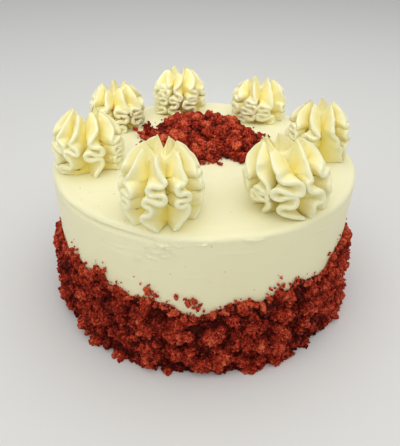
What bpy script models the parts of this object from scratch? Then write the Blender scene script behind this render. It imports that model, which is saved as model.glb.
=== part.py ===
"""Red velvet cake: an iced round cake with a red crumb band, a crumb heap and seven piped dollops.

Run with: blender --background --python part.py
Metres, +Z up. The origin is the centre of the cake's flat underside; -Y is the front.
"""

import math
import random

import bmesh
import bpy
from mathutils import Vector, noise

COLLECTION = "red_velvet_cake"
GAP = 0.0003  # clearance between pieces that rest on each other

# Iced cake: a drum with a soft, slightly uneven rim
CAKE_RADIUS = 0.1000
CAKE_HEIGHT = 0.0980
CAKE_SIDES = 90
CAKE_TOP_RING = 0.0550  # radius of the ring of corners on the flat top
RIM_ROUNDING = 0.0030
RIM_STEPS = 3
RIM_START = 0.0900  # corners nearer to the axis than this stay as they are
RIM_WAVE = 0.0009
RIM_WAVE_LENGTH = 0.0250
RIM_ZONE = 0.0200  # the rim's waves fade out this far below the top

# Band of crumbs pressed round the lower half of the side
BAND_FOOT_RADIUS = 0.1095
BAND_TOP_THICKNESS = 0.0036
BAND_BULGE = 0.7  # under 1, so that the band stays thick from its foot and thins towards its top
BAND_ROWS = 10
BAND_COLUMNS = 120
BAND_LUMP = 0.0018  # how far a crumb stands out of or into the band
BAND_RIM_LUMP = 0.5  # share of a lump that is left along the top edge
BAND_ROW_SHIFT = 0.4  # share of a lump by which the corners of a row lie higher or lower
BAND_FULL_FOOT = 0.2  # up to this share of its height the band has its full radius on the axes
BAND_EDGE_RAGGED = 0.0032
BAND_EDGE_TEETH = 14.0  # scale of the ragged edge: the more, the narrower its teeth
# Height of the band's top edge at azimuths (degrees) where it turns up or down
BAND_EDGE = ((-180, 0.048), (-168, 0.054), (-158, 0.061), (-146, 0.053), (-131, 0.057),
             (-112, 0.052), (-96, 0.051), (-90, 0.046), (-84, 0.051), (-55, 0.056),
             (-30, 0.062), (-10, 0.053), (10, 0.050), (60, 0.056), (110, 0.053), (150, 0.057))

# Heap of crumbs on the middle of the top
HEAP_CENTRE = (-0.0010, 0.0195)
HEAP_HEIGHT = 0.0100
HEAP_EDGE_HEIGHT = 0.0012
HEAP_DOME = 2.2  # the more, the fuller the heap stays towards its outline
HEAP_LUMP = 0.0007
HEAP_SPOKES = 30
HEAP_RINGS = 5
HEAP_CRUMBS = 42
# Reach of the heap's core from its centre at azimuths (degrees) where its outline turns
HEAP_OUTLINE = ((-172, 0.042), (-150, 0.037), (-99, 0.035), (-67, 0.030), (-49, 0.041),
                (-27, 0.036), (0, 0.040), (20, 0.035), (67, 0.035), (87, 0.032),
                (105, 0.037), (141, 0.036))
CRUMB_RADIUS = (0.0032, 0.0052)
CRUMB_FALL = 0.35  # how much smaller the crumbs are at the outline than at the centre
CRUMB_OUTERMOST = 0.97  # share of the outline's reach
CRUMB_STRETCH = ((0.80, 1.25), (0.80, 1.25), (0.70, 1.00))  # along X, Y and Z
CRUMB_CORNER = (0.78, 1.22)  # reach of a crumb's corners, as a share of its radius
CRUMB_RISE = (-0.10, 0.35)  # height of a crumb's centre over the heap, as a share of its radius

# Piped dollops: centre, greatest radius, height above the top, how far the tips lean to the right,
# radius of the foot as a share of the greatest, strokes of each fold, and the seed of the folds.
# Each fin: azimuth of its root and of its leaf (degrees from the front), its tip (to the right,
# to the back, up) and the side to which its first stroke turns, 1 for right.
DOLLOPS = {
    "dollop_front_left": {
        "x": -0.0223, "y": -0.0777, "radius": 0.0224, "height": 0.0435, "lean": 0.0,
        "foot": 0.82, "strokes": 5, "seed": 11,
        "fins": ((-98, -100, (-0.0068, 0.0020, 0.0408), 1),
                 (-52, -40, (-0.0052, 0.0000, 0.0392), -1),
                 (-5, 0, (-0.0011, -0.0010, 0.0385), 1),
                 (36, 37, (0.0057, -0.0010, 0.0389), 1),
                 (78, 80, (0.0074, 0.0020, 0.0406), -1),
                 (122, 118, (0.0070, 0.0040, 0.0400), 1),
                 (168, 160, (0.0042, 0.0030, 0.0428), -1),
                 (214, 230, (-0.0012, 0.0040, 0.0430), 1))},
    "dollop_front_right": {
        "x": 0.0480, "y": -0.0618, "radius": 0.0242, "height": 0.0395, "lean": -0.0065,
        "foot": 0.85, "strokes": 4, "seed": 12,
        "fins": ((-92, -116, (-0.0110, 0.0010, 0.0380), 1),
                 (-50, -60, (-0.0100, 0.0000, 0.0356), -1),
                 (-8, -28, (-0.0051, -0.0010, 0.0336), -1),
                 (30, 24, (0.0054, 0.0010, 0.0379), -1),
                 (72, 101, (0.0088, 0.0030, 0.0360), -1),
                 (118, 120, (0.0070, 0.0050, 0.0365), 1),
                 (165, 165, (-0.0031, 0.0030, 0.0390), -1),
                 (214, 214, (-0.0090, 0.0050, 0.0370), 1))},
    "dollop_right": {
        "x": 0.0751, "y": 0.0018, "radius": 0.0211, "height": 0.0372, "lean": 0.0,
        "foot": 0.97, "strokes": 4, "seed": 13,
        "fins": ((-120, -120, (-0.0100, 0.0020, 0.0340), -1),
                 (-72, -79, (-0.0076, 0.0010, 0.0362), 1),
                 (-24, -34, (-0.0040, -0.0005, 0.0348), 1),
                 (22, 13, (0.0035, -0.0005, 0.0348), -1),
                 (66, 60, (0.0060, 0.0010, 0.0356), -1),
                 (110, 110, (0.0080, 0.0030, 0.0345), 1),
                 (158, 158, (0.0003, 0.0035, 0.0370), -1),
                 (200, 200, (-0.0060, 0.0040, 0.0350), 1))},
    "dollop_back_right": {
        "x": 0.0424, "y": 0.0680, "radius": 0.0215, "height": 0.0312, "lean": 0.0,
        "foot": 0.93, "strokes": 4, "seed": 14,
        "fins": ((-115, -115, (-0.0090, 0.0020, 0.0280), 1),
                 (-70, -72, (-0.0085, 0.0010, 0.0289), -1),
                 (-26, -19, (-0.0030, 0.0000, 0.0286), 1),
                 (14, 18, (0.0055, 0.0000, 0.0306), 1),
                 (60, 60, (0.0090, 0.0005, 0.0298), 1),
                 (104, 104, (0.0100, 0.0020, 0.0288), -1),
                 (150, 150, (0.0050, 0.0030, 0.0295), 1),
                 (200, 200, (-0.0020, 0.0030, 0.0294), -1))},
    "dollop_back": {
        "x": -0.0205, "y": 0.0790, "radius": 0.0208, "height": 0.0348, "lean": 0.0,
        "foot": 0.97, "strokes": 4, "seed": 15,
        "fins": ((-118, -118, (-0.0090, 0.0020, 0.0305), 1),
                 (-78, -80, (-0.0080, 0.0010, 0.0312), -1),
                 (-42, -33, (-0.0070, 0.0010, 0.0316), 1),
                 (-6, 14, (-0.0005, 0.0000, 0.0310), 1),
                 (34, 56, (0.0050, 0.0010, 0.0330), -1),
                 (76, 80, (0.0090, 0.0015, 0.0336), 1),
                 (118, 118, (0.0100, 0.0020, 0.0310), -1),
                 (165, 165, (0.0045, 0.0035, 0.0338), 1),
                 (210, 210, (-0.0030, 0.0030, 0.0324), 1))},
    "dollop_back_left": {
        "x": -0.0656, "y": 0.0456, "radius": 0.0204, "height": 0.0330, "lean": 0.0,
        "foot": 0.93, "strokes": 4, "seed": 16,
        "fins": ((-112, -112, (-0.0080, 0.0020, 0.0295), -1),
                 (-60, -52, (-0.0055, 0.0005, 0.0290), 1),
                 (-22, -12, (-0.0030, -0.0005, 0.0280), 1),
                 (18, 25, (0.0020, -0.0005, 0.0290), 1),
                 (62, 62, (0.0065, 0.0005, 0.0302), 1),
                 (104, 100, (0.0090, 0.0020, 0.0295), -1),
                 (150, 150, (0.0040, 0.0035, 0.0295), 1),
                 (195, 195, (-0.0009, 0.0020, 0.0326), -1))},
    "dollop_left": {
        "x": -0.0730, "y": -0.0210, "radius": 0.0220, "height": 0.0370, "lean": 0.0,
        "foot": 0.95, "strokes": 4, "seed": 17,
        "fins": ((-135, -135, (-0.0080, 0.0060, 0.0340), 1),
                 (-88, -90, (-0.0085, 0.0020, 0.0350), -1),
                 (-45, -33, (-0.0060, 0.0005, 0.0360), -1),
                 (-12, 2, (-0.0018, -0.0010, 0.0348), -1),
                 (28, 42, (0.0035, -0.0010, 0.0352), -1),
                 (68, 86, (0.0085, 0.0000, 0.0356), -1),
                 (112, 115, (0.0085, 0.0030, 0.0363), 1),
                 (168, 168, (0.0055, 0.0040, 0.0368), -1))},
}
LEAF_STEPS = 4  # rings in the smooth leaf at the top
STROKE_STEPS = 4  # rings in each stroke below it
LEAF_CURL = 2.2  # the more, the later a leaf turns towards its first fold
FOLD_TOP = (0.56, 0.68)  # where the folds begin, as a share of the height
FOLD_SWING = (0.25, 0.36)  # from the fin's root to where a stroke ends, as a share of the fins' spacing
FOLD_SHIFT = 0.18  # how far a bend lies above or below its even place, as a share of a stroke
FOLD_OVERLAP = 0.10  # how far strokes hang over each other, as a share of their length
WIDEST_AT = 0.30  # share of the height at which a dollop is widest
DOME_POWER = 2.4  # the more, the fuller the dome stays above that
DOME_ROOT = 0.62  # the less, the blunter its top
CORE_SHARE = 0.50  # radius of the valleys between fins, as a share of the fins' radius
FIN_THICKNESS = 0.0027
TIP_THICKNESS = 0.22  # thickness of a fin at its tip, as a share of the full one
TIP_REACH = 0.0010  # least radius of a fin round its own tip
TIP_GAP = 0.75  # depth of the gap between two tips, as a share of their distance
TIP_HOLLOW = 0.0075  # depth of the hollow between all the tips

ICING = {"color": (0.884, 0.846, 0.541, 1.0), "roughness": 0.46}
BUTTERCREAM = {"color": (0.913, 0.863, 0.578, 1.0), "roughness": 0.42}
CRUMB = {"color": (0.235, 0.029, 0.012, 1.0), "roughness": 0.92}


def clear_scene():
    for old in list(bpy.data.objects):
        bpy.data.objects.remove(old, do_unlink=True)


def make_material(name, look):
    material = bpy.data.materials.new(name)
    material.use_nodes = True
    shader = material.node_tree.nodes["Principled BSDF"]
    shader.inputs["Base Color"].default_value = look["color"]
    shader.inputs["Roughness"].default_value = look["roughness"]
    shader.inputs["Metallic"].default_value = 0.0
    return material


def make_object(name, mesh_data, material, collection, smooth_angle):
    """Turn a bmesh into a named object whose mesh holds its place."""
    bmesh.ops.recalc_face_normals(mesh_data, faces=mesh_data.faces)
    mesh = bpy.data.meshes.new(name)
    mesh_data.to_mesh(mesh)
    mesh_data.free()
    mesh.materials.append(material)
    mesh.shade_smooth()
    mesh.set_sharp_from_angle(angle=math.radians(smooth_angle))
    piece = bpy.data.objects.new(name, mesh)
    collection.objects.link(piece)
    return piece


def around(table, azimuth):
    """Read a value at an azimuth from a closed table of (azimuth, value), with eased steps."""
    azimuth = (azimuth + 180.0) % 360.0 - 180.0
    points = list(table) + [(table[0][0] + 360.0, table[0][1])]
    for (low, value), (high, following) in zip(points, points[1:]):
        if low <= azimuth <= high:
            share = (azimuth - low) / (high - low)
            share = share * share * (3.0 - 2.0 * share)
            return value + (following - value) * share
    return table[0][1]


def turned_ring(profile, sides):
    """Spin an open or closed list of (radius, height) points round the Z axis."""
    mesh_data = bmesh.new()
    corners = [mesh_data.verts.new((radius, 0.0, height)) for radius, height in profile]
    edges = [mesh_data.edges.new(pair) for pair in zip(corners, corners[1:])]
    bmesh.ops.spin(mesh_data, geom=corners + edges, cent=(0, 0, 0), axis=(0, 0, 1),
                   angle=math.tau, steps=sides, use_merge=True)
    bmesh.ops.remove_doubles(mesh_data, verts=mesh_data.verts, dist=0.00001)
    return mesh_data


def build_cake(material, collection):
    """The iced drum, solid right through, with a rounded rim that waves a little."""
    profile = [(0.0, CAKE_HEIGHT), (CAKE_TOP_RING, CAKE_HEIGHT)]
    for step in range(RIM_STEPS + 1):
        turn = math.pi / 2.0 * (1.0 - step / RIM_STEPS)
        profile.append((CAKE_RADIUS - RIM_ROUNDING * (1.0 - math.cos(turn)),
                        CAKE_HEIGHT - RIM_ROUNDING * (1.0 - math.sin(turn))))
    profile += [(CAKE_RADIUS, CAKE_HEIGHT - RIM_ZONE), (CAKE_RADIUS, 0.0), (0.0, 0.0)]
    mesh_data = turned_ring(profile, CAKE_SIDES)
    for corner in mesh_data.verts:
        if corner.co.xy.length < RIM_START:
            continue
        depth = CAKE_HEIGHT - corner.co.z
        fade = max(0.0, 1.0 - depth / RIM_ZONE)
        wander = noise.noise(corner.co.xy.to_3d() / RIM_WAVE_LENGTH)
        corner.co.xy *= 1.0 + RIM_WAVE * wander * fade / CAKE_RADIUS
        corner.co.z -= RIM_WAVE * (0.5 + wander) * fade ** 4
    return make_object("frosted_cake", mesh_data, material, collection, 40)


def build_band(material, collection):
    """A ring of crumbs round the foot, with lumps of crumb size and a ragged top edge."""
    inner = CAKE_RADIUS + GAP
    outer = [(BAND_FOOT_RADIUS, row / (BAND_ROWS - 1)) for row in range(BAND_ROWS)]
    profile = [(inner, 1.0)] + list(reversed(outer)) + [(inner, 0.0), (inner, 1.0)]
    mesh_data = turned_ring(profile, BAND_COLUMNS)
    top_radius = inner + BAND_TOP_THICKNESS
    draw = random.Random(5)
    for corner in mesh_data.verts:
        azimuth = math.degrees(math.atan2(corner.co.y, corner.co.x))
        ragged = noise.noise(corner.co.xy.to_3d().normalized() * BAND_EDGE_TEETH)
        share = corner.co.z
        corner.co.z = share * (around(BAND_EDGE, azimuth) + BAND_EDGE_RAGGED * ragged)
        if corner.co.xy.length < inner + GAP:
            continue
        bulge = (1.0 - share) ** BAND_BULGE
        radius = top_radius + (BAND_FOOT_RADIUS - BAND_LUMP - top_radius) * bulge
        lump = BAND_LUMP * draw.uniform(-1.0, 1.0)
        on_top_edge = share > 1.0 - 0.5 / BAND_ROWS
        on_foot = share < 0.5 / BAND_ROWS
        on_axis = abs((azimuth + 45.0) % 90.0 - 45.0) < 180.0 / BAND_COLUMNS
        if on_top_edge:
            lump *= BAND_RIM_LUMP
        if on_axis and share < BAND_FULL_FOOT:
            lump = BAND_LUMP
        corner.co.xy *= min(radius + lump, BAND_FOOT_RADIUS) / BAND_FOOT_RADIUS
        if not on_top_edge and not on_foot:
            corner.co.z += draw.uniform(-BAND_ROW_SHIFT, BAND_ROW_SHIFT) * BAND_LUMP
    bmesh.ops.triangulate(mesh_data, faces=mesh_data.faces)
    return make_object("crumb_band", mesh_data, material, collection, 25)


def heap_level(share):
    """Height of the bare heap at a share of the way from its centre to its outline."""
    return HEAP_EDGE_HEIGHT + (HEAP_HEIGHT - HEAP_EDGE_HEIGHT) * (1.0 - share ** HEAP_DOME)


def place_on_top(corner):
    """Move a corner from the heap's own frame to its place on the cake."""
    corner.co += Vector((*HEAP_CENTRE, CAKE_HEIGHT + GAP))


def build_heap_core(draw, material, collection):
    """A low uneven mound with a flat underside and a ragged outline."""
    shares = [ring / HEAP_RINGS for ring in range(HEAP_RINGS + 1)]
    profile = [(share, heap_level(share)) for share in shares] + [(1.0, 0.0), (0.0, 0.0)]
    mesh_data = turned_ring(profile, HEAP_SPOKES)
    for corner in mesh_data.verts:
        azimuth = math.degrees(math.atan2(corner.co.y, corner.co.x))
        if corner.co.z > HEAP_EDGE_HEIGHT:
            corner.co.z += HEAP_LUMP * draw.uniform(-1.0, 1.0)
        corner.co.xy *= around(HEAP_OUTLINE, azimuth)
        place_on_top(corner)
    return make_object("crumb_heap", mesh_data, material, collection, 20)


def build_crumb(number, draw, material, collection):
    """A lump of crumb on the heap: a squashed ball of 20 faces with uneven corners."""
    golden_angle = math.pi * (3.0 - math.sqrt(5.0))
    share = math.sqrt((number + 0.5) / HEAP_CRUMBS)
    azimuth = number * golden_angle + draw.uniform(-0.15, 0.15)
    reach = around(HEAP_OUTLINE, math.degrees(azimuth)) * min(share, CRUMB_OUTERMOST)
    radius = draw.uniform(*CRUMB_RADIUS) * (1.0 + CRUMB_FALL * (0.5 - share))
    mesh_data = bmesh.new()
    bmesh.ops.create_icosphere(mesh_data, subdivisions=1, radius=radius)
    stretch = Vector([draw.uniform(*limits) for limits in CRUMB_STRETCH])
    centre = Vector((reach * math.cos(azimuth), reach * math.sin(azimuth),
                     heap_level(share) + draw.uniform(*CRUMB_RISE) * radius))
    for corner in mesh_data.verts:
        corner.co = corner.co * stretch * draw.uniform(*CRUMB_CORNER) + centre
        corner.co.z = max(corner.co.z, 0.0)
        place_on_top(corner)
    return make_object(f"crumb_{number}", mesh_data, material, collection, 20)


def build_heap(material, collection):
    """The mound with its crumbs fused on."""
    draw = random.Random(7)
    heap = build_heap_core(draw, material, collection)
    loose = bpy.data.collections.new("crumbs")
    bpy.context.scene.collection.children.link(loose)
    for number in range(HEAP_CRUMBS):
        build_crumb(number, draw, material, loose)
    union = heap.modifiers.new("crumbs", "BOOLEAN")
    union.operation = "UNION"
    union.operand_type = "COLLECTION"
    union.collection = loose
    union.solver = "MANIFOLD"
    bpy.context.view_layer.update()
    fused = bpy.data.meshes.new_from_object(heap.evaluated_get(bpy.context.evaluated_depsgraph_get()))
    heap.modifiers.remove(union)
    heap.data = fused
    for crumb in list(loose.objects):
        bpy.data.objects.remove(crumb, do_unlink=True)
    bpy.data.collections.remove(loose)
    return heap


def dome_radius(spec, level):
    """Radius of the dome that holds a dollop's fins, at a height above its foot."""
    share = min(max(level / spec["height"], 0.0), 1.0)
    if share < WIDEST_AT:
        swell = math.sin(share / WIDEST_AT * math.pi / 2.0)
        return spec["radius"] * (spec["foot"] + (1.0 - spec["foot"]) * swell)
    fall = (share - WIDEST_AT) / (1.0 - WIDEST_AT)
    return spec["radius"] * (1.0 - fall ** DOME_POWER) ** DOME_ROOT


def direction(azimuth):
    return Vector((math.cos(azimuth), math.sin(azimuth), 0.0))


def plan_fins(spec):
    """List each fin's azimuth, its tip, and the (turn, height) of its bends from tip to foot."""
    draw = random.Random(spec["seed"])
    spacing = math.tau / len(spec["fins"])
    fins = []
    for root, leaf, tip, side in spec["fins"]:
        bends = [(math.radians(leaf - root), tip[2])]
        fold_top = spec["height"] * draw.uniform(*FOLD_TOP)
        for stroke in range(spec["strokes"]):
            swing = spacing * draw.uniform(*FOLD_SWING)
            share = (stroke + draw.uniform(-FOLD_SHIFT, FOLD_SHIFT)) / spec["strokes"]
            bends.append((side * swing, fold_top * (1.0 - share)))
            side = -side
        bends.append((0.0, 0.0))
        fins.append({"azimuth": math.radians(root - 90.0), "tip": Vector(tip), "bends": bends})
    return fins


def fin_shares(spec):
    """Where the rings lie between a fin's bends: the leaf is part 0 and each stroke one more."""
    leaf = [step / LEAF_STEPS for step in range(LEAF_STEPS)]
    last = 1 + spec["strokes"]
    return leaf + [1.0 + step / STROKE_STEPS for step in range((last - 1) * STROKE_STEPS + 1)]


def edge_path(spec, fin, place):
    """Turn, folded height and unfolded height of a fin's outer edge, at a place among its bends."""
    part = min(max(int(place), 0), spec["strokes"])
    along = place - part
    (turn, level), (next_turn, next_level) = fin["bends"][part], fin["bends"][part + 1]
    ease = along ** LEAF_CURL if part == 0 else (1.0 - math.cos(math.pi * along)) / 2.0
    unfolded = level + (next_level - level) * along
    hang = 0.0
    if 0 < part < spec["strokes"]:
        hang = FOLD_OVERLAP * abs(next_turn - turn) * dome_radius(spec, unfolded)
    return (turn + (next_turn - turn) * ease, unfolded - hang * math.sin(math.tau * along), unfolded)


def fin_frame(spec, fin, place):
    """Centre line, reach, outer edge point and unfolded height of a fin at a place."""
    turn, height, level = edge_path(spec, fin, place)
    centre = fin["tip"].xy.to_3d() * max(1.0 - place, 0.0)
    reach = max(dome_radius(spec, level) - centre.length, TIP_REACH)
    edge = centre + direction(fin["azimuth"] + turn) * reach
    edge.z = height
    return centre, reach, edge, level


def fin_corners(spec, fin, place):
    """The two corners of a fin's outer edge, half its thickness to each side."""
    step = 0.05
    centre, reach, edge, level = fin_frame(spec, fin, place)
    core = centre + direction(fin["azimuth"]) * reach * CORE_SHARE
    core.z = level
    above, below = max(place - step, 0.0), min(place + step, 1.0 + spec["strokes"])
    path = fin_frame(spec, fin, below)[2] - fin_frame(spec, fin, above)[2]
    across = (edge - core).cross(path).normalized()
    half = FIN_THICKNESS / 2.0 * (TIP_THICKNESS + (1.0 - TIP_THICKNESS) * min(place, 1.0))
    return edge - across * half, edge + across * half


def valley_corner(spec, fin, following, place):
    """The bottom of the valley between a fin and the next one round."""
    centre, reach, _, level = fin_frame(spec, fin, place)
    next_centre, next_reach, _, next_level = fin_frame(spec, following, place)
    gap = (following["azimuth"] - fin["azimuth"]) % math.tau
    out = direction(fin["azimuth"] + gap / 2.0) * (reach + next_reach) / 2.0 * CORE_SHARE
    corner = (centre + next_centre) / 2.0 + out
    corner.z = (level + next_level) / 2.0 - (centre - next_centre).length * TIP_GAP
    return corner


def build_dollop(name, spec, material, collection):
    """A piped dollop: a loft whose rings go in and out round its fins, from tips to foot."""
    fins = plan_fins(spec)
    places = fin_shares(spec)
    base = Vector((spec["x"], spec["y"], CAKE_HEIGHT + GAP))
    mesh_data = bmesh.new()
    rings = []
    for place in places:
        ring = []
        for fin, following in zip(fins, fins[1:] + fins[:1]):
            ring += [*fin_corners(spec, fin, place), valley_corner(spec, fin, following, place)]
        for corner in ring:
            corner.z = 0.0 if place == places[-1] else max(corner.z, 0.0)
            corner.x += spec["lean"] * corner.z / spec["height"]
        rings.append([mesh_data.verts.new(corner + base) for corner in ring])
    crown_place = sum((corner.co for corner in rings[0]), Vector()) / len(rings[0])
    crown_place.z = base.z + sum(fin["tip"].z for fin in fins) / len(fins) - TIP_HOLLOW
    crown = mesh_data.verts.new(crown_place)
    foot = mesh_data.verts.new(base)
    for upper, lower in zip(rings, rings[1:]):
        for side in range(len(upper)):
            mesh_data.faces.new((upper[side - 1], lower[side - 1], lower[side], upper[side]))
    for side in range(len(rings[0])):
        mesh_data.faces.new((crown, rings[0][side - 1], rings[0][side]))
        mesh_data.faces.new((foot, rings[-1][side], rings[-1][side - 1]))
    return make_object(name, mesh_data, material, collection, 50)


def main():
    clear_scene()
    collection = bpy.data.collections.new(COLLECTION)
    bpy.context.scene.collection.children.link(collection)
    icing = make_material("icing", ICING)
    buttercream = make_material("piped_buttercream", BUTTERCREAM)
    crumb = make_material("red_velvet_crumb", CRUMB)
    build_cake(icing, collection)
    build_band(crumb, collection)
    build_heap(crumb, collection)
    for name, spec in DOLLOPS.items():
        build_dollop(name, spec, buttercream, collection)


main()
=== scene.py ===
import math
import random

import bpy
import numpy as np
from mathutils import Matrix, Vector, noise


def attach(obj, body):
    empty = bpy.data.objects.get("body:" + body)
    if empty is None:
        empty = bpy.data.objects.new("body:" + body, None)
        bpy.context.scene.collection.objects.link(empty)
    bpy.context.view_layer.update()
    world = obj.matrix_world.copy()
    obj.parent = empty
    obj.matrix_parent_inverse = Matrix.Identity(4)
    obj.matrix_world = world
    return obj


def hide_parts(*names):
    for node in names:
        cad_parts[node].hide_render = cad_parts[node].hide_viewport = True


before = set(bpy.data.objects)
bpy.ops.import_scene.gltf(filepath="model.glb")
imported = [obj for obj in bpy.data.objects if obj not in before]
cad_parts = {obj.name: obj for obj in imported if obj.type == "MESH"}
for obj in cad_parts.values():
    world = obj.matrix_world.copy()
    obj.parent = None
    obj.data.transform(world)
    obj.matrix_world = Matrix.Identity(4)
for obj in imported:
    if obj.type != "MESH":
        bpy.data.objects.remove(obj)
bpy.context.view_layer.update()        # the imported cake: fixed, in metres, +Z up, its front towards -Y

mm = 0.001  # sizes below are in millimetres and become metres with this

# small tools used by every piece


def linearColour(hexCode):  # sRGB hex to the linear values that a shader wants
    channels = [int(hexCode[place:place + 2], 16) / 255.0 for place in (1, 3, 5)]
    values = [c / 12.92 if c <= 0.04045 else ((c + 0.055) / 1.055) ** 2.4 for c in channels]
    return (*values, 1.0)


def addNode(material, kind, settings=(), links=()):  # one node with its settings, then the links into it
    tree = material.node_tree
    node = tree.nodes.new(kind)
    for name, value in dict(settings).items():
        if isinstance(name, int) or name in node.inputs:
            node.inputs[name].default_value = value
        else:
            setattr(node, name, value)
    for name, source in dict(links).items():
        tree.links.new(source, node.inputs[name])
    return node


def newMaterial(name, settings):  # one Principled shader, with its fixed values on its own sockets
    material = bpy.data.materials.new(name)
    material.use_nodes = True
    shader = material.node_tree.nodes["Principled BSDF"]
    for socket, value in settings.items():
        shader.inputs[socket].default_value = value
    return material, shader


def mixColours(material, share, first, second):  # from first to second, each a hex code or a socket
    colours = {6: first, 7: second}  # the Mix node's colour inputs
    fixed = {place: linearColour(colour) for place, colour in colours.items() if isinstance(colour, str)}
    linked = {place: colour for place, colour in colours.items() if place not in fixed}
    node = addNode(material, "ShaderNodeMix", {"data_type": "RGBA", **fixed}, {0: share, **linked})
    return node.outputs[2]


def addNoise(material, place, spacing, detail, roughness=0.5):  # fractal noise, spacing in millimetres
    settings = {"Scale": 1 / (spacing * mm), "Detail": detail, "Roughness": roughness}
    return addNode(material, "ShaderNodeTexNoise", settings, {"Vector": place}).outputs["Fac"]


def addBump(material, shader, height, strength, distance):  # fine relief, distance in millimetres
    bump = addNode(material, "ShaderNodeBump", {"Strength": strength, "Distance": distance * mm},
                   {"Height": height})
    material.node_tree.links.new(bump.outputs["Normal"], shader.inputs["Normal"])


def addObject(name, data):
    holder = bpy.data.objects.new(name, data)
    bpy.context.scene.collection.objects.link(holder)
    return holder


def deselectAll():
    bpy.ops.object.select_all(action="DESELECT")


def readPoints(piece):
    points = np.empty(len(piece.data.vertices) * 3)
    piece.data.vertices.foreach_get("co", points)
    return points.reshape(-1, 3)


def writePoints(piece, points):
    piece.data.vertices.foreach_set("co", np.ascontiguousarray(points, dtype=float).ravel())
    piece.data.update()


def smoothNoise(points, seed):  # Blender's own Perlin noise at each point, about -1 to 1
    shift = Vector((seed * 7.31, seed * 3.17, seed * 1.93))
    return np.array([noise.noise(Vector(point) + shift) for point in points])


def onCircle(angle):  # points of a unit circle, so that noise closes on itself round the cake
    return np.stack([np.cos(angle), np.sin(angle), np.zeros_like(angle)], axis=1)


def writeAttribute(piece, name, values):  # one number for each point, read by the material
    layer = piece.data.attributes.new(name, "FLOAT", "POINT")
    layer.data.foreach_set("value", np.ascontiguousarray(values, dtype=float))


def finishPiece(piece, material, nodes=()):
    piece.data.materials.clear()
    piece.data.materials.append(material)
    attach(piece, "root")
    if nodes:
        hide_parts(*nodes)


def rolledGrid(name, across, along):  # a grid, with the column and row of each point, to be rolled up
    deselectAll()
    bpy.ops.mesh.primitive_grid_add(x_subdivisions=across, y_subdivisions=along, size=1.0)
    piece = bpy.context.object
    piece.name = name
    piece.data.name = name
    points = readPoints(piece)
    column = np.round((points[:, 0] + 0.5) * across).astype(int) % across
    return piece, column, np.round((points[:, 1] + 0.5) * along).astype(int)


def closeSeams(piece, distance):  # joins the rolled edges, turns the faces outwards, selects the piece
    deselectAll()
    piece.select_set(True)
    bpy.context.view_layer.objects.active = piece
    bpy.ops.object.mode_set(mode="EDIT")
    bpy.ops.mesh.select_all(action="SELECT")
    bpy.ops.mesh.remove_doubles(threshold=distance)
    bpy.ops.mesh.delete_loose()
    bpy.ops.mesh.select_all(action="SELECT")
    bpy.ops.mesh.normals_make_consistent(inside=False)
    bpy.ops.object.mode_set(mode="OBJECT")


# camera, floor and light come first

camera = {
    "lens": 37.0,
    "sensorWidth": 36.0,
    "clip": (0.01, 10.0),  # metres
    "target": (-1.9, -1.4, 40.0),
    "distance": 343.9,
    "pitch": 34.34,
    "roll": 1.2,
}


def addCamera(settings):
    pitch, roll = math.radians(settings["pitch"]), math.radians(settings["roll"])
    forward = Vector((0.0, math.cos(pitch), -math.sin(pitch)))
    right = Vector((1.0, 0.0, 0.0))
    up = right.cross(forward)
    rightAxis = right * math.cos(roll) + up * math.sin(roll)
    upAxis = up * math.cos(roll) - right * math.sin(roll)
    place = (Vector(settings["target"]) - forward * settings["distance"]) * mm
    data = bpy.data.cameras.new("camera")
    data.lens = settings["lens"]
    data.sensor_width = settings["sensorWidth"]
    data.clip_start, data.clip_end = settings["clip"]
    holder = addObject("camera", data)
    turn = Matrix((rightAxis, upAxis, -forward)).transposed()
    holder.matrix_world = Matrix.Translation(place) @ turn.to_4x4()
    bpy.context.scene.camera = holder


addCamera(camera)

studio = {
    "floorColour": "#E1E0DD",
    "floorRoughness": 0.7,
    "floorSize": 3.0,  # metres
    "worldColour": "#F4F5F5",
    "worldStrength": 0.58,
    # name, place and size in metres, power, spread in degrees and the spot that it is aimed at
    "lamps": (("topLamp", (0.10, -0.05, 0.95), 1.7, 6.5, 180.0, (0.0, 0.0, 0.06)),
              ("frontLamp", (-0.75, -0.65, 0.7), 1.2, 1.8, 180.0, (0.0, 0.0, 0.06)),
              ("fillLamp", (-0.1, -0.55, 0.65), 0.2, 0.03, 20.0, (-0.02, 0.11, 0.11))),
}


def addStudio(settings):
    deselectAll()
    bpy.ops.mesh.primitive_plane_add(size=settings["floorSize"], location=(0.0, 0.0, 0.0))
    floor = bpy.context.object
    floor.name = "studioFloor"
    paper = newMaterial("palePaperSweep", {  # matt paper, pale grey and without a shine
        "Roughness": settings["floorRoughness"], "Base Color": linearColour(settings["floorColour"])})[0]
    floor.data.materials.append(paper)
    world = bpy.data.worlds.new("softTent")
    world.use_nodes = True
    bpy.context.scene.world = world
    background = world.node_tree.nodes["Background"]
    background.inputs["Color"].default_value = linearColour(settings["worldColour"])
    background.inputs["Strength"].default_value = settings["worldStrength"]
    for name, place, size, power, spread, target in settings["lamps"]:
        data = bpy.data.lights.new(name, "AREA")
        data.shape = "DISK"
        data.size, data.energy, data.spread = size, power, math.radians(spread)
        holder = addObject(name, data)
        holder.location = place
        aim = Vector(target) - holder.location
        holder.rotation_euler = aim.to_track_quat("-Z", "Y").to_euler()


addStudio(studio)
bpy.context.scene.view_settings.view_transform = "Standard"  # keeps the reds and creams as they are
print("camera and studio are in place")

# materials: their spacings and bump heights are in millimetres

icingLook = {
    "light": "#F6F2CD",
    "deep": "#F1EBBF",
    # painted shade: the colour inside the pin-holes, darker as the shade in them
    "hole": "#C3B782",
    "cloudSpacing": 45.0,
    "grainSpacing": 2.5,
    "holeSpacing": 8.0,
    "holeRadius": 0.5,
    "holeDepth": 3.0,  # times the swing of the grain
    "bump": (0.25, 0.15),  # strength and height
}


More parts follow.
